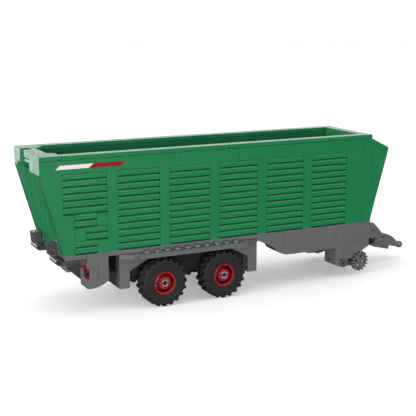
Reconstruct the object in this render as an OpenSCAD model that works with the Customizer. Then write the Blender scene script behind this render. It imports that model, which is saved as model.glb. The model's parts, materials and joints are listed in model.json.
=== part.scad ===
// Interlocking-brick forage and grain wagon: tandem-axle trailer with a slatted
// open-top body, a top-hung tailgate, a drawbar with a ball coupling and a front pickup.
// Millimetres. +X is forwards (drawbar), +Z is up, Z = 0 is the ground under the tyres.

/* [Brick system] */
// Stud pitch, the grid everything is built on
pitch = 8; // [6.6:0.1:9.6]
// Height of one brick (three plates)
brick_h = 9.6; // [8:0.1:11.6]
// Gap left between neighbouring pieces, each side
side_gap = 0.1; // [0.05:0.01:0.2]
// Seating gap left above each piece
seat_gap = 0.05; // [0.02:0.01:0.1]
// Wall thickness of a hollow brick
shell = 1.4; // [1:0.1:1.6]

/* [Body] */
// Depth of the groove under each slat
slat_groove = 1.1; // [0.6:0.1:1.6]
// Rearward lean of the tailgate from upright, degrees
gate_lean = 10.3; // [8:0.1:11]
// Thickness of one tailgate layer
gate_t = 3.2; // [2.6:0.1:3.6]

/* [Wheels] */
// Tyre outside diameter
tyre_d = 35.2; // [29:0.1:36.4]
// Tyre width
tyre_w = 14; // [11.5:0.1:14.4]
// Rim opening diameter seen inside the tyre
rim_d = 18.5; // [15:0.1:19.4]
// Lugs in each of the two rows round the tyre
lugs = 20; // [14:1:22]
// Axle and connector pin diameter
pin_d = 4.8; // [4.2:0.1:5]
// Radial running clearance round a pin
run_gap = 0.05; // [0.03:0.01:0.08]

/* [Pickup and drawbar] */
// Outside diameter of the tined pickup wheels
reel_d = 16.4; // [14:0.1:17.6]
// Tines on each pickup wheel
tines = 16; // [10:1:18]
// Downward slope of the drawbar at rest, degrees
bar_drop = 13.6; // [8:0.1:15]
// Coupling ball diameter
ball_d = 6; // [5:0.1:7.2]
// Distance of the ball centre along the drawbar
ball_reach = 32.4; // [29:0.1:40]

/* [Hidden] */
P = pitch;
h = brick_h/3;
c = side_gap;
cz = seat_gap;
t = shell;
W = 8*P;                       // body width
axz = -7*h - 3.8*brick_h/9.6;  // axle height below the floor line
ground = axz - tyre_d/2;
ax1 = 11*P;                    // rear axle
ax2 = 17*P;                    // front axle
pr = pin_d/2;
br = pr + run_gap;             // bore radius
pvx = 31*P;                    // pickup arm pivot
pvz = -9*h - 3.8*brick_h/9.6;
rlx = 33*P;                    // pickup reel axle
// drawbar hinge and ball; the bar has its own sloping frame
hgx = 36.3*P;
hgz = -7.6*h;
barx = hgx + 4.25;             // rear lower corner of the bar
barz = hgz - 5.2;
blx = barx + ball_reach*cos(bar_drop) + 4.7*sin(bar_drop);
blz = barz - ball_reach*sin(bar_drop) + 4.7*cos(bar_drop);
xmid = (blx + ball_d/2 + c)/2;
// tailgate hinge and foot
gx = 0.45*P;
gz = 19.66*h;
fx = 1.61*P;
fz = 3*h + 0.2;
glen = (18*h - 1.4 - fz)/cos(gate_lean);
// rear box hinge
tbx = 1.475*P;
tbz = -1.16*h;
green = [0.15, 0.48, 0.30];
grey = [0.39, 0.40, 0.41];
dark_grey = [0.27, 0.27, 0.28];
dark = [0.17, 0.17, 0.17];
red = [0.69, 0.16, 0.17];
pale = [0.62, 0.66, 0.69];
$fn = 40;

// ---------- shared pieces ----------
module place() translate([-xmid, -W/2, -ground]) children();
module both() { children(); translate([0, W, 0]) mirror([0, 1, 0]) children(); }
module far() translate([0, W, 0]) mirror([0, 1, 0]) children();

// hollow brick: x and y in studs, z in plates
module brick(x0, x1, y0, y1, z0, z1) {
  difference() {
    translate([P*x0 + c, P*y0 + c, h*z0])
      cube([P*(x1 - x0) - 2*c, P*(y1 - y0) - 2*c, h*(z1 - z0) - cz]);
    translate([P*x0 + c + t, P*y0 + c + t, h*z0 - 1])
      cube([P*(x1 - x0) - 2*(c + t), P*(y1 - y0) - 2*(c + t), h*(z1 - z0) - cz - 1.1 + 1]);
  }
}
// solid piece with an X-Z outline
module xz(y0, y1, pts)
  translate([0, y1, 0]) rotate([90, 0, 0]) linear_extrude(height = y1 - y0) polygon(pts);
// straight inverted slope, full end at x0, running dir studs per unit to the thin end
module inv_slope(x0, dir, y0, y1, z0)
  xz(P*y0 + c, P*y1 - c, [
    [P*x0 + dir*c, h*z0], [P*(x0 + dir), h*z0],
    [P*(x0 + 3*dir) - dir*c, h*(z0 + 2.6)], [P*(x0 + 3*dir) - dir*c, h*(z0 + 3) - cz],
    [P*x0 + dir*c, h*(z0 + 3) - cz]]);
// tall steep inverted slope: wide at the top, one stud at the foot
module steep(x0, dir, y0, y1, z0)
  xz(P*y0 + c, P*y1 - c, [
    [P*x0 + dir*c, h*z0], [P*(x0 + dir), h*z0],
    [P*(x0 + 2*dir) - dir*c, h*(z0 + 9) - cz], [P*x0 + dir*c, h*(z0 + 9) - cz]]);
// slatted wall brick, two slats to a brick, slats facing -Y
module slat_brick(x0, x1, z0) {
  s = brick_h/2;
  zb = h*z0;
  g = slat_groove;
  difference() {
    translate([P*x0 + c, 0, 0]) rotate([90, 0, 90]) linear_extrude(height = P*(x1 - x0) - 2*c)
      polygon([
        [g + c, zb], [g + c, zb + 0.45], [c, zb + 1.15], [c, zb + s - 1], [c + 0.45, zb + s - cz],
        [g + c, zb + s - cz], [g + c, zb + s + 0.45], [c, zb + s + 1.15],
        [c, zb + 2*s - 1], [c + 0.45, zb + 2*s - cz], [P - c, zb + 2*s - cz], [P - c, zb]]);
    translate([P*x0 + c + t, g + c + t, zb - 1])
      cube([P*(x1 - x0) - 2*(c + t), P - g - 2*(c + t), 2*s - 1.2 + 1]);
  }
}
module stud(x, y, z) translate([P*x, P*y, z - 0.01]) cylinder(r = 0.3*P, h = 0.56*h);

// ---------- slatted body ----------
bays = [7, 12, 17, 22, 27];
module slats_side() color(green) {
  for (b = bays, k = [0:5]) slat_brick(b, b + 4, 3*k);
  for (k = [3:5]) slat_brick(2, 6, 3*k);
  slat_brick(3, 5, 6); slat_brick(4, 6, 3); slat_brick(3, 5, 0);
}
module slats_near() slats_side();
module slats_far() far() slats_side();
module small_bricks() color(green) both() {
  brick(5, 6, 0, 1, 6, 9); brick(3, 4, 0, 1, 3, 6); brick(5, 7, 0, 1, 0, 3);
  for (x = [11, 16, 21, 26]) brick(x, x + 1, 0, 1, 0, 3);
}
module posts_tall() color(green) both() for (x = [6, 11, 16, 21, 26]) brick(x, x + 1, 0, 1, 3, 18);
module steep_slopes() color(green) both() {
  steep(2, -1, 0, 1, 9); steep(3, -1, 0, 1, 0); steep(34, 1, 0, 1, 9); steep(33, 1, 0, 1, 0);
}
module front_bricks() color(green) both() for (k = [3:5]) brick(31, 34, 0, 1, 3*k, 3*k + 3);
module front_panels() color(green) both() brick(31, 33, 0, 1, 0, 9);
module front_wall() color(green) for (y = [1, 3, 5]) { steep(34, 1, y, y + 2, 9); steep(33, 1, y, y + 2, 0); }
module top_course() color(green) both() {
  brick(5, 13, 0, 1, 18, 21); brick(13, 19, 0, 1, 18, 21);
  brick(19, 25, 0, 1, 18, 21); brick(25, 33, 0, 1, 18, 21);
}
module corner_plates() color(green) both() for (k = [18:20]) brick(0, 5, 0, 1, k, k + 1);
module front_top_slopes() color(green) for (y = [0, 2, 4, 6])
  xz(P*y + c, P*(y + 2) - c, [
    [33*P + c, 18*h], [36*P - c, 18*h], [36*P - c, 18.5*h],
    [34*P, 21*h - cz], [33*P + c, 21*h - cz]]);
// flat tile with a shadow groove along both long edges
module rail_tile(x0, x1, y0, y1)
  difference() {
    translate([P*x0 + c, P*y0 + c, 21*h]) cube([P*(x1 - x0) - 2*c, P*(y1 - y0) - 2*c, h]);
    for (s = [0, 1]) translate([P*x0, s ? P*y1 - c - 0.35 : P*y0 - 1 + c + 0.35, 21*h - 0.1])
      cube([P*(x1 - x0), 1, 0.45]);
  }
module rail_tiles() color(green) {
  both() for (x = [2, 10, 18, 26]) rail_tile(x, x + 8, 0, 1);
  rail_tile(33, 34, 1, 7);
}
module rail_corners() color(green) both() rail_tile(0, 2, 0, 2);
module rear_sill() color(green) brick(2, 3, 1, 7, 0, 3);

// ---------- marking on the near side ----------
module marking(x0, x1) translate([0, c - 0.02, 0]) rotate([90, 0, 0])
  linear_extrude(height = 0.16) polygon([
    [P*x0, 19.06*h], [P*x1, 19.06*h], [P*(x1 + 0.42), 19.98*h], [P*(x0 + 0.42), 19.98*h]]);
module marking_white() color([0.95, 0.95, 0.95]) marking(1.42, 4.4);
module marking_red() color(red) marking(4.42, 7.35);

// ---------- tailgate ----------
beam_in = 1.34*P;               // inner edge of the rear beam
pin_r = 0.15*P;                 // tailgate hinge pin
barrel = 0.3*P;                 // tailgate hinge barrel radius
// height just above the tailgate panels at a distance x
function gate_top(x) = 18*h - 1.25 + (x - 0.54*P)*tan(gate_lean);
module gate_bore(y0, y1) translate([gx, y0, gz]) rotate([-90, 0, 0])
  cylinder(r = pin_r + run_gap, h = y1 - y0);
module rail_rear() color(green) {
  translate([0, 0, 21*h]) linear_extrude(height = h) polygon([
    [c, 2*P + c], [c, 3*P], [0.1*P, 3*P + 0.6], [0.1*P, 5*P - c], [0.88*P, 5*P - c], [0.88*P, 6*P - c],
    [1.9*P, 6*P - c], [beam_in, 5.72*P], [beam_in, 2.28*P], [1.9*P, 2*P + c]]);
  lip_z = gz + barrel + 0.3;    // lower lip over the tailgate barrel
  translate([0.1*P, 3*P + c, lip_z]) cube([gx + barrel - 0.1*P, 2*P - 2*c, 21*h + 0.1 - lip_z]);
}
module hinge_blocks() color(green) {
  translate([c, P + c, 18*h + cz]) cube([2*P - 2*c, P - 2*c, 3*h - 2*cz]);
  translate([c, 6*P + c, 19*h]) cube([2*P - 2*c, P - 2*c, 2*h - cz]);
}
module hinge_beam() color(green) difference() {
  union() {
    translate([c, 2*P + c, 18*h + cz]) cube([beam_in - c, P - 2*c, 3*h - 2*cz]);
    translate([gx + barrel + 0.3, 2*P + c, 19*h]) cube([beam_in - gx - barrel - 0.3, 4*P - 2*c, 2*h - cz]);
  }
  gate_bore(2*P - 1, 3*P + 1);
}
module gate_head() color(green) difference() {
  union() {
    xz(3*P + 0.3, 5*P - 0.3, [
      [gx - barrel, gz], [gx + barrel, gz], [gx + barrel, 18*h + 0.4],
      [1.16*P, gate_top(1.16*P)], [0.56*P, gate_top(0.56*P)]]);
    translate([gx, 3*P + 0.3, gz]) rotate([-90, 0, 0]) cylinder(r = barrel, h = 2*P - 0.6);
  }
  gate_bore(2*P, 6*P);
}
module gate_frame() translate([fx, 0, fz]) rotate([0, -gate_lean, 0]) children();
module gate_panel() color(green) gate_frame()
  translate([gate_t + 0.05, P + 0.3, 0.8]) cube([gate_t, 6*P - 0.6, glen - 0.8]);
module gate_ribs() color(green) gate_frame() for (k = [0:3])
  translate([0, P + 0.35 + k*1.4875*P, 0]) linear_extrude(height = glen) intersection() {
    translate([0, 0.1]) square([gate_t, 1.4875*P - 0.2]);
    translate([1.12*P, 0.74375*P]) circle(r = 1.12*P, $fn = 48);
  }

// ---------- chassis ----------
module floor_plates() color(grey) {
  brick(2, 4, 0, 8, -1, 0); brick(4, 10, 0, 8, -1, 0);
  for (x = [10, 18, 26]) brick(x, x + 8, 0, 8, -1, 0);
  for (x = [3:32], y = [1:6]) stud(x + 0.5, y + 0.5, -cz);
}
module chassis_plates() color(grey) {
  both() {
    brick(4, 6, 0, 2, -2, -1); brick(4, 6, 0, 2, -3, -2);
    brick(24, 32, 0, 2, -5, -4); brick(32, 34, 0, 2, -5, -4);
    brick(25, 28, 0, 2, -6, -5); brick(28, 34, 0, 2, -6, -5);
  }
  brick(30, 34, 2, 6, -2, -1); brick(30, 37, 2, 6, -6, -5);
}
module chassis_bricks() color(grey) both() {
  difference() {
    brick(4, 5, 0, 2, -6, -3);
    translate([4*P - 1, -1, -5.75*h]) cube([1 + 1.5, P + 1.1, 2.4*h]);
  }
  brick(5, 6, 0, 2, -6, -3);
  brick(24, 30, 0, 1, -4, -1); brick(30, 34, 0, 1, -4, -1); brick(30, 31, 0, 2, -9, -6);
}
// block whose lower edge sweeps up in an arc towards one end
module arc_block(x0, x1, xt, r, z0, zt, dir) xz_arc(c, 2*P - c) intersection() {
  polygon([[x0, z0], [x1, z0], [x1, zt], [x0, zt]]);
  union() {
    translate([xt, z0 + r]) circle(r = r, $fn = 96);
    translate([dir > 0 ? x0 : xt, z0]) square([dir > 0 ? xt - x0 : x1 - xt, zt - z0]);
  }
}
module xz_arc(y0, y1) translate([0, y1, 0]) rotate([90, 0, 0]) linear_extrude(height = y1 - y0) children();
module chassis_curves() color(grey) both() {
  arc_block(4*P + c, 6*P - c, 4.4*P, 2.45*P, -8*h, -6*h - cz, 1);
  difference() {
    arc_block(23*P + c, 25*P - c, 24.6*P, 2.2*P, -6*h, -4*h - cz, -1);
    translate([24*P - c, -1, -5*h - cz]) cube([2*P, 3*P, 2*h]);
  }
}
module cross_walls() color(dark) {
  brick(4, 5, 2, 6, -4, -1); brick(4, 5, 2, 6, -7, -4);
  for (x = [7, 20]) {
    brick(x, x + 1, 1, 7, -4, -1); brick(x, x + 1, 1, 7, -7, -4); brick(x, x + 1, 1, 7, -9, -7);
  }
}
module side_frames() color(dark) both() { brick(8, 20, 1, 2, -4, -1); brick(8, 20, 1, 2, -7, -4); }
module axle_bricks() color(dark) both() for (x = [ax1, ax2]) difference() {
  translate([x - P + c, P + c, -10*h]) cube([2*P - 2*c, P - 2*c, 3*h - cz]);
  translate([x, P - 1, axz]) rotate([-90, 0, 0]) cylinder(r = br, h = P + 2);
}
module shelf_plates() color(grey) both() {
  brick(9, 19, -1, 1, -2, -1);
  for (k = [0:9]) stud(9.5 + k, -0.5, -h - cz);
}
module wedge_plates() color(grey) both() for (m = [0, 1])
  translate([m ? 28*P : 0, 0, 0]) mirror([m, 0, 0]) difference() {
    translate([0, 0, -2*h]) linear_extrude(height = h - cz) polygon([
      [7*P + c, -c], [7*P + c, P - c], [9*P - c, P - c], [9*P - c, -P + c], [8.6*P, -P + c]]);
    translate([8.1*P, -P - 1, -2*h - 1]) cube([0.62*P, 0.5*P + 1, 1.55*h]);
  }
module arch_slopes() color(grey) both() { inv_slope(7, 1, 0, 1, -5); inv_slope(21, -1, 0, 1, -5); }
module wide_slopes() color(grey) both() {
  inv_slope(24, -1, 0, 2, -4);
  difference() {
    inv_slope(31, 1, 0, 2, -9);
    translate([rlx, -1, pvz]) rotate([-90, 0, 0]) cylinder(r = reel_d/2 + 0.4, h = 5.2);
  }
}
module pillars() color(grey) both() { brick(7, 8, 0, 1, -9, -5); brick(20, 21, 0, 1, -9, -5); }

// ---------- rear lights ----------
module reflectors() color(red) both() {
  translate([4*P + 0.05, c, -5.7*h]) cube([1.35, P - 0.2, 2.3*h]);
  translate([4*P - 1.55, 0.12*P, -3.25*h]) rotate([-8, 0, 0]) cube([1.5, 1.35*P, 0.7*h]);
}

// ---------- hinged rear light boxes ----------
module tail_knuckles() color(dark_grey) both() difference() {
  union() {
    translate([2*P + c, c, -2*h]) cube([P - 2*c, 2*P - 2*c, h - cz]);
    for (y = [c, 2*P - c - 2.4]) {
      translate([tbx, y, -2*h + cz]) cube([2.3*P - tbx, 2.4, h - 3*cz]);
      translate([tbx, y, tbz]) rotate([-90, 0, 0]) cylinder(r = 2.3, h = 2.4);
    }
  }
  translate([tbx, -1, tbz]) rotate([-90, 0, 0]) cylinder(r = 1.2, h = 2*P + 2);
}
module tail_box() color(dark_grey) {
  difference() {
    union() {
      translate([tbx, 2.8, tbz]) rotate([-90, 0, 0]) cylinder(r = 2.3, h = 2*P - 5.6);
      translate([tbx, 0, tbz]) rotate([0, -5, 0]) translate([-0.4, P + 0.3, 1.2])
        cube([2.6, P - 3.1, 2.6]);
    }
    translate([tbx, -1, tbz]) rotate([-90, 0, 0]) cylinder(r = 1.2, h = 2*P + 2);
  }
  translate([tbx, 0, tbz]) rotate([0, -5, 0]) for (k = [0, 1])
    translate([2.6 - (k + 1)*(h - cz), P + c, 3.85]) cube([h - 2*cz, P - 2*c, 8.1]);
}
module tail_box_near() tail_box();
module tail_box_far() far() tail_box();

// ---------- wheels ----------
wy = -1.03*P;                  // outer face of the tyre
module tyre() color(dark) rotate([-90, 0, 0]) {
  R = tyre_d/2;
  rb = rim_d/2;
  difference() {
    union() {
      rotate_extrude($fn = 64) polygon([
        [rb - 0.7, 0.9], [rb, 0.2], [R*0.88, 0.1], [R*0.925, 0.9], [R*0.935, 2.2],
        [R*0.935, tyre_w - 2.2], [R*0.925, tyre_w - 0.9], [R*0.88, tyre_w - 0.1],
        [rb, tyre_w - 0.2], [rb - 0.7, tyre_w - 0.9]]);
      intersection() {
        translate([0, 0, 0.7]) cylinder(r = R, h = tyre_w - 1.4, $fn = 96);
        for (s = [0, 1], k = [0:lugs - 1]) rotate([0, 0, 360*(k + s/2)/lugs])
          translate([R*0.86, -R*0.07, s ? tyre_w/2 - 0.6 : 0.5]) cube([R*0.2, R*0.14, tyre_w/2 + 0.1]);
      }
    }
    translate([0, 0, 1]) cylinder(r = rb + 0.25, h = tyre_w - 2);
    translate([0, 0, -1]) cylinder(r = rb - 0.7, h = tyre_w + 2);
  }
}
module rim() color(red) rotate([-90, 0, 0]) {
  rb = rim_d/2;
  hub = pr + 2.2;
  difference() {
    rotate_extrude($fn = 64) polygon([
      [br, 1.2], [hub, 1.2], [hub, 4], [rb - 2.3, 4.6], [rb - 2, 0.9], [rb - 1.8, 0.7],
      [rb - 0.8, 0.7], [rb - 0.8, 1.1], [rb + 0.15, 1.1], [rb + 0.15, tyre_w - 1.1],
      [rb - 0.9, tyre_w - 1.1], [rb - 1.3, 6.4], [hub, 6], [hub, tyre_w - 0.6], [br, tyre_w - 0.6]]);
    for (a = [0:60:300]) rotate([0, 0, a + 30]) translate([(hub + rb - 2.3)/2, 0, 2])
      cylinder(r = 0.7, h = 6, $fn = 16);
  }
}
pin_bore = 1.6;                 // the hollow of a connector pin
module wheel_pin() color(pale) rotate([-90, 0, 0]) difference() {
  union() {
    cylinder(r = pr, h = P*2 - wy - 1.2);
    cylinder(r = pr + 0.35, h = 0.45);
  }
  translate([-4, -0.45, -1]) cube([8, 0.9, 1.9]);
  translate([0, 0, -1]) cylinder(r = pin_bore, h = 10);
}
module wheel_pins() both() for (x = [ax1, ax2]) translate([x, wy + 0.6, axz]) wheel_pin();
module at_wheel(x) translate([x, wy, axz]) children();
module tyre_near_rear() at_wheel(ax1) tyre();
module tyre_near_front() at_wheel(ax2) tyre();
module tyre_far_rear() far() at_wheel(ax1) tyre();
module tyre_far_front() far() at_wheel(ax2) tyre();
module rim_near_rear() at_wheel(ax1) rim();
module rim_near_front() at_wheel(ax2) rim();
module rim_far_rear() far() at_wheel(ax1) rim();
module rim_far_front() far() at_wheel(ax2) rim();

// ---------- pickup ----------
arm_r = -9*h - 0.1 - pvz;       // half height of the thin arm
stub_r = 1.55;                  // thin ends of the reel axle
gear_root = reel_d/2 - 2.2;
module arm_bores(y0, y1, studs) for (x = studs) translate([P*x, y0 - 1, pvz]) rotate([-90, 0, 0])
  cylinder(r = br, h = y1 - y0 + 2);
// thin arm behind the toothed wheel, with a foot of full thickness at its rear end
module pickup_arm() difference() {
  top = pvz + arm_r;
  union() {
    translate([pvx, P/2 + c, pvz - arm_r]) cube([rlx - pvx, P/2 - 2*c, 2*arm_r]);
    translate([rlx, P/2 + c, pvz]) rotate([-90, 0, 0]) cylinder(r = arm_r, h = P/2 - 2*c);
    xz(P/2 + c, P - c, [
      [30*P + c, top], [pvx + 1, top], [pvx + 1, pvz - arm_r], [30*P + 4.2, pvz - 2.6],
      [30*P + c, pvz - 0.8]]);
    xz(c, P - c, [
      [30*P + c, top], [30*P + 4.2, top], [30*P + 4.2, pvz - 2.6], [30*P + c, pvz - 0.8]]);
  }
  arm_bores(P/2, P, [31, 32, 33]);
}
module inner_beam() difference() {
  xz(P + c, 2*P - c, [
    [30*P + c, -9*h - cz], [34*P - c, -9*h - cz], [34*P - c, -11*h], [30.6*P, -11*h],
    [30*P + c, -10.45*h]]);
  arm_bores(P, 2*P, [31, 33]);
}
module pickup_bush() translate([pvx, 0.15, pvz]) rotate([-90, 0, 0]) difference() {
  cylinder(r = arm_r - 0.25, h = P/2 - 0.25);
  translate([0, 0, -1]) cylinder(r = br, h = P);
  translate([0, 0, -1]) cylinder(r = br + 0.5, h = 3.5);
}
module pickup_beams() color(grey) both() { pickup_arm(); inner_beam(); pickup_bush(); }
module pickup_pins() color(grey) both() translate([pvx, 0.4, pvz]) rotate([-90, 0, 0]) difference() {
  cylinder(r = pr, h = 1.9*P);
  translate([0, 0, -1]) cylinder(r = pin_bore, h = P);
}
// toothed wheel: four round holes between its hub and its rim
module reel_wheel() rotate([-90, 0, 0]) difference() {
  hub_r = stub_r + 0.85;
  hole_at = (gear_root + stub_r + 0.25)/2;
  union() {
    linear_extrude(height = 2.9) union() {
      circle(r = gear_root);
      for (k = [0:tines - 1]) rotate(360*k/tines) polygon([
        [gear_root - 0.5, -0.9], [reel_d/2, -0.4], [reel_d/2, 0.4], [gear_root - 0.5, 0.9]]);
    }
    cylinder(r = hub_r, h = P/2 - 0.45);
  }
  for (a = [0:90:270]) rotate([0, 0, a + 12]) translate([hole_at, 0, -1])
    cylinder(r = gear_root - 0.65 - hole_at, h = P);
  translate([0, 0, -1]) cylinder(r = stub_r + 0.02, h = P);
  translate([0, 0, -1]) difference() { cylinder(r = gear_root - 0.5, h = 1.4); cylinder(r = hub_r, h = 3); }
}
module reel_wheels() color(grey) both() translate([rlx, 0.15, pvz]) reel_wheel();
module reel_axle() color(grey) translate([rlx, 0, pvz]) rotate([-90, 0, 0]) {
  translate([0, 0, 0.4]) cylinder(r = stub_r, h = W - 0.8);
  translate([0, 0, P/2]) cylinder(r = pr, h = W - P);
}

// ---------- front frame and drawbar ----------
module hitch_slopes() color(grey) for (y = [2, 4]) {
  xz(P*y + c, P*(y + 2) - c, [
    [35*P + c, -5*h], [37*P - c, -5*h], [37*P - c, -4.53*h], [36*P, -2*h - cz], [35*P + c, -2*h - cz]]);
  for (k = [0, 1]) stud(35.5, y + k + 0.5, -2*h - cz);
}
module hitch_brick() color(grey) brick(30, 35, 2, 6, -5, -2);
module hitch_ears() color(dark) difference() {
  union() {
    translate([34*P, 3*P + c, -6.5*h]) cube([2.2*P, 2*P - 2*c, 0.5*h - cz]);
    translate([34.2*P, 3*P + c, -6.5*h]) cube([1.8*P, 2*P - 2*c, 1.5*h - 1.25]);
    for (y = [3*P + c, 5*P - c - 3.4]) {
      translate([35*P, y, hgz - 2.7]) cube([hgx - 35*P, 3.4, -6*h - cz - hgz + 2.7]);
      translate([hgx, y, hgz]) rotate([-90, 0, 0]) cylinder(r = 2.7, h = 3.4);
    }
  }
  translate([hgx, 2*P, hgz]) rotate([-90, 0, 0]) cylinder(r = 1.65, h = 4*P);
}
// tailgate pin, two tail box pins and drawbar pin
module hinge_pins() color(dark) {
  translate([gx, 2*P + 0.3, gz]) rotate([-90, 0, 0]) cylinder(r = pin_r, h = 3*P - 0.9);
  both() translate([tbx, c, tbz]) rotate([-90, 0, 0]) cylinder(r = 1.15, h = 2*P - 2*c);
  translate([hgx, 3*P + c, hgz]) rotate([-90, 0, 0]) cylinder(r = 1.6, h = 2*P - 2*c);
}
module bar_frame() translate([barx, 3*P, barz]) rotate([0, bar_drop, 0]) children();
module bar_plate() color(grey) bar_frame() translate([c, c, 0]) cube([2*P - 2*c, 2*P - 2*c, h - 4*cz]);
module bar_curve() color(grey) bar_frame() difference() {
  translate([0, 2*P - c, 0]) rotate([90, 0, 0]) linear_extrude(height = 2*P - 2*c) intersection() {
    polygon([[c, h], [3*P - c, h], [3*P - c, 4*h], [0.57*P, 4*h], [c, 2.6*h]]);
    union() {
      translate([0.95*P, 4*h - 26]) circle(r = 26, $fn = 128);
      square([0.95*P, 4*h]);
    }
  }
  for (y = [c - 1, 2*P - c - 0.4]) translate([0.68*P, y, 2.9*h]) cube([0.38*P, 1.4, 0.25*h]);
}
module bar_tongue() color(dark) difference() {
  union() {
    translate([hgx, 4*P - 4.2, hgz]) rotate([-90, 0, 0]) cylinder(r = 2.5, h = 8.4);
    bar_frame() translate([-5.35, P - 4.2, 2.3]) cube([5.35, 8.4, 3.5]);
  }
  translate([hgx, 2*P, hgz]) rotate([-90, 0, 0]) cylinder(r = 1.65, h = 4*P);
}
module coupling() color(grey) {
  bar_frame() translate([3*P, P, 4.7]) rotate([0, 90, 0]) {
    translate([0, 0, 0]) cylinder(r = 1.75, h = 7);
    translate([-2.2, -3.6, 0]) cube([3.7, 7.2, 3.2]);
  }
  translate([blx, 4*P, blz]) sphere(r = ball_d/2, $fn = 48);
}

place() {
  slats_near();
  slats_far();
  small_bricks();
  posts_tall();
  steep_slopes();
  front_bricks();
  front_panels();
  front_wall();
  top_course();
  corner_plates();
  front_top_slopes();
  rail_tiles();
  rail_corners();
  rear_sill();
  marking_white();
  marking_red();
  rail_rear();
  hinge_blocks();
  hinge_beam();
  gate_head();
  gate_panel();
  gate_ribs();
  floor_plates();
  chassis_plates();
  chassis_bricks();
  chassis_curves();
  cross_walls();
  side_frames();
  axle_bricks();
  shelf_plates();
  wedge_plates();
  arch_slopes();
  wide_slopes();
  pillars();
  reflectors();
  tail_knuckles();
  tail_box_near();
  tail_box_far();
  wheel_pins();
  tyre_near_rear();
  tyre_near_front();
  tyre_far_rear();
  tyre_far_front();
  rim_near_rear();
  rim_near_front();
  rim_far_rear();
  rim_far_front();
  pickup_beams();
  pickup_pins();
  reel_wheels();
  reel_axle();
  hitch_slopes();
  hitch_brick();
  hitch_ears();
  hinge_pins();
  bar_plate();
  bar_curve();
  bar_tongue();
  coupling();
}
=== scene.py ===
"""Brick-built forage and grain wagon: materials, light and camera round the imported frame."""
import json
import math

import bpy
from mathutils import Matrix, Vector


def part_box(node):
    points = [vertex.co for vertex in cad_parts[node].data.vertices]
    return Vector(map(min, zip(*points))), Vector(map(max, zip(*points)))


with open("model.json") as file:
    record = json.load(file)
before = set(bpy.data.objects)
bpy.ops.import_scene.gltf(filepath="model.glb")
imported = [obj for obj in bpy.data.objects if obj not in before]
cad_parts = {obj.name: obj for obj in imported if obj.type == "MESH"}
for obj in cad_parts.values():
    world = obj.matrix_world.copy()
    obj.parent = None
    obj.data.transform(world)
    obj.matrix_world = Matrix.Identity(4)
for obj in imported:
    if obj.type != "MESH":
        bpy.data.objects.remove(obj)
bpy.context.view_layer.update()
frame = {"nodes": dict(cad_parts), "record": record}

MM = 0.001
SLOT = {row["node"]: row["material_slot"] for row in frame["record"]["subparts"]}

# Depths and radii of the surface detail, in metres
PIN_BORE_SHADE = 1.6 * MM           # painted shade: a dark disc over the shaded bore in the end of each wheel pin
RIM_HUB = 4.65 * MM             # the rim's dish, darkened with painted shade, lies between this hub ring and this outer lip
RIM_LIP = 7.2 * MM              # and this outer lip
WALL_FROM_RIM = 0.9 * MM        # ringed side wall: from just outside the rim
WALL_TO_TREAD = 3.7 * MM        # to where the lugs begin
SCUFF_START, SCUFF_FULL = 1.0 * MM, 0.2 * MM    # scuffed lug ends, inwards from the tread
RING_PITCH = 0.9 * MM
WORN_EDGE, WORN_LUG = 0.35 * MM, 0.4 * MM
# how far the painted shade in joints and recesses reaches
PAINTED_SHADE_REACH = 1.3 * MM
LENS_LOWER = (1.64 * MM, 2.64 * MM)     # where each lens fades out, up from the lamp's foot
LENS_UPPER = (4.84 * MM, 5.64 * MM)
BRICK_BEVEL, TYRE_BEVEL = 0.13 * MM, 0.18 * MM
BEVEL_ANGLE = math.radians(32)

# Strength of the plastic's small-scale detail, as shares
COAT, WEAR, GRAIN, TONE = 0.05, 0.12, 0.12, 0.02

# Studio and camera
FLOOR_HALF = 6.0
FLOOR_GLOW = 0.3
CAMERA_AT = (-0.336489, -0.638698, 0.211153)
CAMERA_YAW, CAMERA_PITCH = 0.4561, 0.2086
CAMERA_LENS, CAMERA_SENSOR = 81.12, 36.0
SKY_STRENGTH = 0.68
HORIZON_STRENGTH = 0.75
HORIZON_WAY = (0.43, 0.88, 0.21)    # low behind the far side, away from the camera


# ---------------------------------------------------------------- node helpers
def srgb(r, g, b):
    """Display values 0-255 as the linear colour that a shader socket takes."""
    def one(v):
        v /= 255
        return v / 12.92 if v <= 0.04045 else ((v + 0.055) / 1.055) ** 2.4
    return (one(r), one(g), one(b), 1.0)


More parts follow.
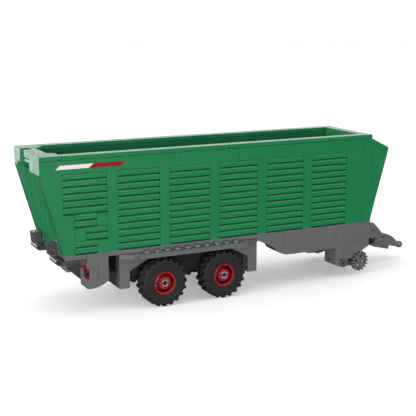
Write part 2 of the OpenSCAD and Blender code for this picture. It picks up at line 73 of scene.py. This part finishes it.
class Graph:
    """A small wrapper that keeps node trees short to write."""

    def __init__(self, name):
        self.mat = bpy.data.materials.new(name)
        self.mat.use_nodes = True
        self.nodes = self.mat.node_tree.nodes
        self.links = self.mat.node_tree.links
        self.nodes.clear()
        self.out = self.nodes.new("ShaderNodeOutputMaterial")
        self.bsdf = self.nodes.new("ShaderNodeBsdfPrincipled")
        self.links.new(self.bsdf.outputs["BSDF"], self.out.inputs["Surface"])
        self.coord = self.nodes.new("ShaderNodeTexCoord").outputs["Object"]

    def node(self, kind, **settings):
        n = self.nodes.new(kind)
        for key, value in settings.items():
            setattr(n, key, value)
        return n

    def put(self, value, socket):
        if isinstance(value, bpy.types.NodeSocket):
            self.links.new(value, socket)
        else:
            socket.default_value = value

    def math(self, op, a, b=0.0, c=None):
        n = self.node("ShaderNodeMath", operation=op)
        self.put(a, n.inputs[0])
        self.put(b, n.inputs[1])
        if c is not None:
            self.put(c, n.inputs[2])
        return n.outputs[0]

    def noise(self, scale, detail=3.0, rough=0.5, stretch=None, distort=0.0):
        n = self.node("ShaderNodeTexNoise")
        vec = self.coord
        if stretch:
            m = self.node("ShaderNodeMapping")
            m.inputs["Scale"].default_value = stretch
            self.links.new(vec, m.inputs["Vector"])
            vec = m.outputs["Vector"]
        self.links.new(vec, n.inputs["Vector"])
        n.inputs["Scale"].default_value = scale
        n.inputs["Detail"].default_value = detail
        n.inputs["Roughness"].default_value = rough
        n.inputs["Distortion"].default_value = distort
        return n.outputs["Fac"]

    def spread(self, value, lo, hi, a=0.3, b=0.7):
        """Map value from a..b to lo..hi and stop at both ends."""
        n = self.node("ShaderNodeMapRange")
        n.clamp = True
        self.put(value, n.inputs["Value"])
        for name, v in (("From Min", a), ("From Max", b), ("To Min", lo), ("To Max", hi)):
            n.inputs[name].default_value = v
        return n.outputs["Result"]

    def mix(self, fac, a, b, mode="MIX"):
        n = self.node("ShaderNodeMix", data_type="RGBA", blend_type=mode)
        self.put(fac, n.inputs["Factor"])
        self.put(a, n.inputs["A"])
        self.put(b, n.inputs["B"])
        return n.outputs["Result"]

    def bump(self, height, strength, distance, normal=None):
        n = self.node("ShaderNodeBump")
        n.inputs["Strength"].default_value = strength
        n.inputs["Distance"].default_value = distance
        self.put(height, n.inputs["Height"])
        if normal is not None:
            self.links.new(normal, n.inputs["Normal"])
        return n.outputs["Normal"]

    def edge(self, radius):
        """About 0 on flat ground and up to 1 along a piece's edges."""
        soft = self.node("ShaderNodeBevel", samples=6)
        soft.inputs["Radius"].default_value = radius
        flat = self.node("ShaderNodeNewGeometry")
        dot = self.node("ShaderNodeVectorMath", operation="DOT_PRODUCT")
        self.links.new(soft.outputs["Normal"], dot.inputs[0])
        self.links.new(flat.outputs["Normal"], dot.inputs[1])
        return self.spread(dot.outputs["Value"], 1.0, 0.0, 0.75, 0.99)

    def painted_crevice_shade(self, reach):
        """Painted shade from ambient occlusion: 1 on open faces, falling to 0 down in the joints between
        bricks and other recesses.
        """
        ao = self.node("ShaderNodeAmbientOcclusion", samples=8)
        ao.inputs["Distance"].default_value = reach
        return self.spread(ao.outputs["AO"], 0.0, 1.0, 0.42, 0.86)

    def radius(self, axles):
        """Distance from the nearest of some axles that run along Y, each given as (x, z)."""
        xyz = self.node("ShaderNodeSeparateXYZ")
        self.links.new(self.coord, xyz.inputs[0])
        best = None
        for x, z in axles:
            dx = self.math("SUBTRACT", xyz.outputs["X"], x)
            dz = self.math("SUBTRACT", xyz.outputs["Z"], z)
            square = self.math("MULTIPLY_ADD", dx, dx, self.math("MULTIPLY", dz, dz))
            r = self.math("SQRT", square)
            best = r if best is None else self.math("MINIMUM", best, r)
        return best

    def zone(self, r, inner, outer, soft=0.12 * MM):
        """1 between two radii and 0 elsewhere."""
        return self.math("MULTIPLY", self.spread(r, 0.0, 1.0, inner - soft, inner + soft),
                         self.spread(r, 1.0, 0.0, outer - soft, outer + soft))

    def island(self):
        """A steady random number for each separate brick."""
        return self.node("ShaderNodeNewGeometry").outputs["Random Per Island"]


def shade(base, k, white=0.0):
    """base made k times as bright, then moved towards white."""
    return tuple(min(1.0, v * k * (1 - white) + white) for v in base[:3]) + (1.0,)


# ---------------------------------------------------------------- materials
def plastic(name, base, rough=0.34, painted_shade_ring=None):
    """Injection-moulded brick plastic: satin skin, faint flow marks, hair scratches, pale worn edges,
    painted shade in joints and recesses.

    The ring argument is (axles, inner radius, outer radius, colour): a ring of painted shade round some
    axles.
    """
    g = Graph(name)
    tint = base
    # painted shade: a darker ring round the given axles
    if painted_shade_ring:
        axles, inner, outer, colour = painted_shade_ring
        tint = g.mix(g.zone(g.radius(axles), inner, outer), base, colour)
    brick = g.spread(g.island(), 1 - TONE, 1 + TONE, 0.0, 1.0)
    cloud = g.spread(g.noise(38, 4, 0.6), 1 - 0.6 * TONE, 1 + 0.6 * TONE)
    value = g.math("MULTIPLY", brick, cloud)
    hsv = g.node("ShaderNodeHueSaturation")
    g.put(tint, hsv.inputs["Color"])
    g.links.new(value, hsv.inputs["Value"])
    dust = g.spread(g.noise(210, 6, 0.7), 0.0, 0.03, 0.5, 0.78)
    col = g.mix(dust, hsv.outputs["Color"], (0.30, 0.32, 0.30, 1.0))
    rubbed = g.math("MULTIPLY", g.edge(WORN_EDGE), g.spread(g.noise(160, 4, 0.65), 0.25, 1.0))
    col = g.mix(g.math("MULTIPLY", rubbed, WEAR), col, shade(base, 1.25, 0.25))
    # painted shade: the base colour is darkened in the joints between bricks and other recesses
    col = g.mix(1.0, col, g.spread(g.painted_crevice_shade(PAINTED_SHADE_REACH), 0.12, 1.0, 0.0, 1.0), "MULTIPLY")
    g.links.new(col, g.bsdf.inputs["Base Color"])
    scratch = g.noise(1.0, 3, 0.6, stretch=(90, 900, 2600), distort=0.6)
    satin = g.math("ADD", g.spread(g.noise(120, 5, 0.6), rough - 0.05, rough + 0.06),
                   g.spread(scratch, 0.0, 0.05, 0.58, 0.72))
    g.links.new(g.math("ADD", satin, g.math("MULTIPLY", rubbed, 0.12)), g.bsdf.inputs["Roughness"])
    flow = g.noise(1.0, 2, 0.5, stretch=(60, 60, 340))
    n = g.bump(g.noise(2400, 2, 0.5), GRAIN, 0.03 * MM)
    n = g.bump(flow, 0.08, 0.12 * MM, n)
    g.links.new(n, g.bsdf.inputs["Normal"])
    g.bsdf.inputs["IOR"].default_value = 1.5
    g.bsdf.inputs["Coat Weight"].default_value = COAT
    g.bsdf.inputs["Coat Roughness"].default_value = 0.16
    return g.mat


def rubber(name, axle, rim_radius, tyre_radius):
    """Matt tyre rubber round one axle: fine moulding rings on the side wall and scuffed lugs."""
    g = Graph(name)
    r = g.radius([axle])
    rings = g.math("SINE", g.math("MULTIPLY", r, 2 * math.pi / RING_PITCH))
    on_wall = g.zone(r, rim_radius + WALL_FROM_RIM, tyre_radius - WALL_TO_TREAD, 0.3 * MM)
    base = srgb(27, 27, 27)
    col = g.mix(g.spread(g.noise(70, 5, 0.65), 0.0, 0.4), base, srgb(38, 38, 37))
    scuff = g.math("MULTIPLY", g.spread(r, 0.0, 1.0, tyre_radius - SCUFF_START, tyre_radius - SCUFF_FULL),
                   g.spread(g.noise(260, 5, 0.7), 0.1, 1.0))
    col = g.mix(g.math("MULTIPLY", scuff, 0.35), col, srgb(64, 64, 63))
    col = g.mix(g.math("MULTIPLY", g.edge(WORN_LUG), 0.2), col, srgb(76, 76, 75))
    g.links.new(col, g.bsdf.inputs["Base Color"])
    g.links.new(g.spread(g.noise(150, 5, 0.6), 0.52, 0.74), g.bsdf.inputs["Roughness"])
    n = g.bump(g.noise(1500, 4, 0.6), 0.3, 0.05 * MM)
    n = g.bump(g.math("MULTIPLY", rings, on_wall), 0.45, 0.07 * MM, n)
    g.links.new(n, g.bsdf.inputs["Normal"])
    g.bsdf.inputs["Specular IOR Level"].default_value = 0.4
    return g.mat


def sticker(name, base):
    """Thin printed film: even ink with a dot of mottle, glossier than the brick under it."""
    g = Graph(name)
    col = g.mix(g.spread(g.noise(420, 5, 0.7), 0.0, 0.35), base, shade(base, 0.86))
    g.links.new(col, g.bsdf.inputs["Base Color"])
    g.links.new(g.spread(g.noise(90, 3, 0.5), 0.22, 0.36), g.bsdf.inputs["Roughness"])
    g.links.new(g.bump(g.noise(700, 3, 0.5), 0.12, 0.04 * MM), g.bsdf.inputs["Normal"])
    return g.mat


def lamp(name, foot):
    """Small printed lamp: red lenses at its ends and a black bezel between them; foot is its lowest Z."""
    g = Graph(name)
    xyz = g.node("ShaderNodeSeparateXYZ")
    g.links.new(g.coord, xyz.inputs[0])
    lower = g.spread(xyz.outputs["Z"], 1.0, 0.0, foot + LENS_LOWER[0], foot + LENS_LOWER[1])
    upper = g.spread(xyz.outputs["Z"], 0.0, 1.0, foot + LENS_UPPER[0], foot + LENS_UPPER[1])
    lens = g.math("MAXIMUM", lower, upper)
    facet = g.spread(g.noise(900, 3, 0.6), 0.45, 1.0)
    col = g.mix(g.math("MULTIPLY", lens, facet), srgb(38, 34, 34), srgb(150, 22, 24))
    g.links.new(col, g.bsdf.inputs["Base Color"])
    g.links.new(g.spread(g.noise(300, 3, 0.5), 0.16, 0.28), g.bsdf.inputs["Roughness"])
    g.links.new(g.bump(g.noise(1400, 2, 0.5), 0.3, 0.05 * MM), g.bsdf.inputs["Normal"])
    return g.mat


def centre(node):
    """The X and Z of a round node's own axis."""
    lo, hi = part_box(node)
    return ((lo[0] + hi[0]) / 2, (lo[2] + hi[2]) / 2)


def half_height(node):
    """Half a round node's height, which is its outer radius."""
    lo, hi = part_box(node)
    return (hi[2] - lo[2]) / 2


GREEN = srgb(32, 128, 79)
GREY = srgb(105, 107, 109)
MATERIAL = {
    "green_plastic": plastic("green_moulded", GREEN),
    "grey_plastic": plastic("grey_moulded", GREY),
    "darkgrey_plastic": plastic("dark_grey_moulded", srgb(66, 67, 69)),
    "dark_plastic": plastic("black_moulded", srgb(30, 30, 32)),
    # the dark disc at each wheel pin's end is painted shade for its bore
    "pale_plastic": plastic("pale_moulded", srgb(132, 140, 145), rough=0.28,
                            painted_shade_ring=([centre("rim_near_rear"), centre("rim_near_front")],
                                   -MM, PIN_BORE_SHADE, srgb(14, 14, 15))),     # from below 0: a full disc
    "light_red": lamp("lamp_red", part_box("reflectors")[0][2]),
    "white_print": sticker("white_film", srgb(238, 239, 238)),
    "red_print": sticker("dark_red_film", srgb(156, 26, 36)),
}
for node, obj in frame["nodes"].items():
    if SLOT[node] == "tyre":
        mat = rubber("rubber_" + node, centre(node),
                     half_height(node.replace("tyre", "rim")), half_height(node))
    elif SLOT[node] == "rim_red":
        # painted shade: the rim's dish is darkened between hub ring and lip
        dish_shade = ([centre(node)], RIM_HUB, RIM_LIP, srgb(88, 13, 17))
        mat = plastic("red_moulded_" + node, srgb(170, 34, 37), rough=0.3, painted_shade_ring=dish_shade)
    else:
        mat = MATERIAL[SLOT[node]]
    obj.data.materials.clear()
    obj.data.materials.append(mat)
    for poly in obj.data.polygons:
        poly.material_index = 0

# Moulded edges are rounded: a small bevel catches the light along every brick.
EDGE = {"tyre": TYRE_BEVEL, "white_print": 0.0, "red_print": 0.0}
for node, obj in frame["nodes"].items():
    width = EDGE.get(SLOT[node], BRICK_BEVEL)
    if not width:
        continue
    bev = obj.modifiers.new("moulded_edge", "BEVEL")
    bev.width = width
    bev.segments = 2
    bev.limit_method = "ANGLE"
    bev.angle_limit = BEVEL_ANGLE


# ---------------------------------------------------------------- floor, light, camera
def floor():
    """A wide pale floor that shows the object's shadow but throws no light back at it."""
    mesh = bpy.data.meshes.new("floor")
    s = FLOOR_HALF
    mesh.from_pydata([(-s, -s, 0), (s, -s, 0), (s, s, 0), (-s, s, 0)], [], [(0, 1, 2, 3)])
    obj = bpy.data.objects.new("floor", mesh)
    bpy.context.scene.collection.objects.link(obj)
    g = Graph("pale_floor")
    col = g.mix(g.spread(g.noise(6, 3, 0.5), 0.0, 1.0), (0.95, 0.95, 0.95, 1), (0.97, 0.97, 0.97, 1))
    g.links.new(col, g.bsdf.inputs["Base Color"])
    g.bsdf.inputs["Roughness"].default_value = 0.9
    g.bsdf.inputs["Specular IOR Level"].default_value = 0.1
    g.bsdf.inputs["Emission Color"].default_value = (1, 1, 1, 1)
    g.bsdf.inputs["Emission Strength"].default_value = FLOOR_GLOW
    obj.data.materials.append(g.mat)
    # the studio alone lights the object, so its underside stays dark
    obj.visible_diffuse = False
    obj.visible_glossy = False
    obj.visible_shadow = False


def area(name, at, aim, size, watts, reflection_only=False):
    """A round soft lamp aimed at a point; reflection_only shows it in glossy surfaces alone."""
    data = bpy.data.lights.new(name, "AREA")
    data.shape = "DISK"
    data.size = size
    data.energy = watts
    obj = bpy.data.objects.new(name, data)
    obj.location = at
    obj.visible_diffuse = not reflection_only
    obj.rotation_euler = (Vector(aim) - Vector(at)).to_track_quat("-Z", "Y").to_euler()
    bpy.context.scene.collection.objects.link(obj)


floor()
# The key is low on the left; rear_sheen is a low panel behind the far side that only reflections show.
area("key", (-0.62, -1.9, 0.12), (0, 0, 0.07), 0.6, 27)
area("top", (0.1, -0.1, 2.4), (0, 0, 0), 1.4, 5)
area("rear_fill", (-1.9, -0.2, 0.5), (-0.1, 0, 0.06), 0.8, 16)
area("rear_sheen", (-0.9, 1.8, 0.08), (-0.1, 0, 0.06), 0.9, 7, reflection_only=True)


def studio_world():
    """A soft white studio: bright above, dark below the floor line, with a bright horizon behind."""
    world = bpy.data.worlds.new("studio")
    bpy.context.scene.world = world
    world.use_nodes = True
    nodes, links = world.node_tree.nodes, world.node_tree.links
    way = nodes.new("ShaderNodeTexCoord").outputs["Generated"]

    def lit(axis, a, b, top):
        """A bright zone round a direction, with a soft edge."""
        dot = nodes.new("ShaderNodeVectorMath")
        dot.operation = "DOT_PRODUCT"
        links.new(way, dot.inputs[0])
        dot.inputs[1].default_value = Vector(axis).normalized()
        ramp = nodes.new("ShaderNodeMapRange")
        ramp.interpolation_type = "SMOOTHSTEP"
        links.new(dot.outputs["Value"], ramp.inputs["Value"])
        for name, v in (("From Min", a), ("From Max", b), ("To Min", 0.0), ("To Max", top)):
            ramp.inputs[name].default_value = v
        return ramp.outputs["Result"]

    def join(op, a, b):
        n = nodes.new("ShaderNodeMath")
        n.operation = op
        links.new(a, n.inputs[0])
        links.new(b, n.inputs[1])
        return n.outputs[0]

    sky = join("MINIMUM", lit((0.0, 0.0, 1.0), -0.08, -0.01, SKY_STRENGTH),
               lit((0.0, 0.35, 1.0), -0.06, 0.10, SKY_STRENGTH))
    horizon = lit(HORIZON_WAY, 0.78, 0.97, HORIZON_STRENGTH)
    links.new(join("ADD", sky, horizon), nodes["Background"].inputs["Strength"])
    nodes["Background"].inputs["Color"].default_value = (1, 1, 1, 1)


studio_world()

cam_data = bpy.data.cameras.new("camera")
cam_data.sensor_width = CAMERA_SENSOR
cam_data.lens = CAMERA_LENS
cam_data.clip_start = 0.01
cam_data.clip_end = 50.0
cam = bpy.data.objects.new("camera", cam_data)
cam.location = CAMERA_AT
look = Vector((math.sin(CAMERA_YAW) * math.cos(CAMERA_PITCH),
               math.cos(CAMERA_YAW) * math.cos(CAMERA_PITCH), -math.sin(CAMERA_PITCH)))
cam.rotation_euler = look.to_track_quat("-Z", "Y").to_euler()
bpy.context.scene.collection.objects.link(cam)
bpy.context.scene.camera = cam
bpy.context.scene.view_settings.view_transform = "Standard"
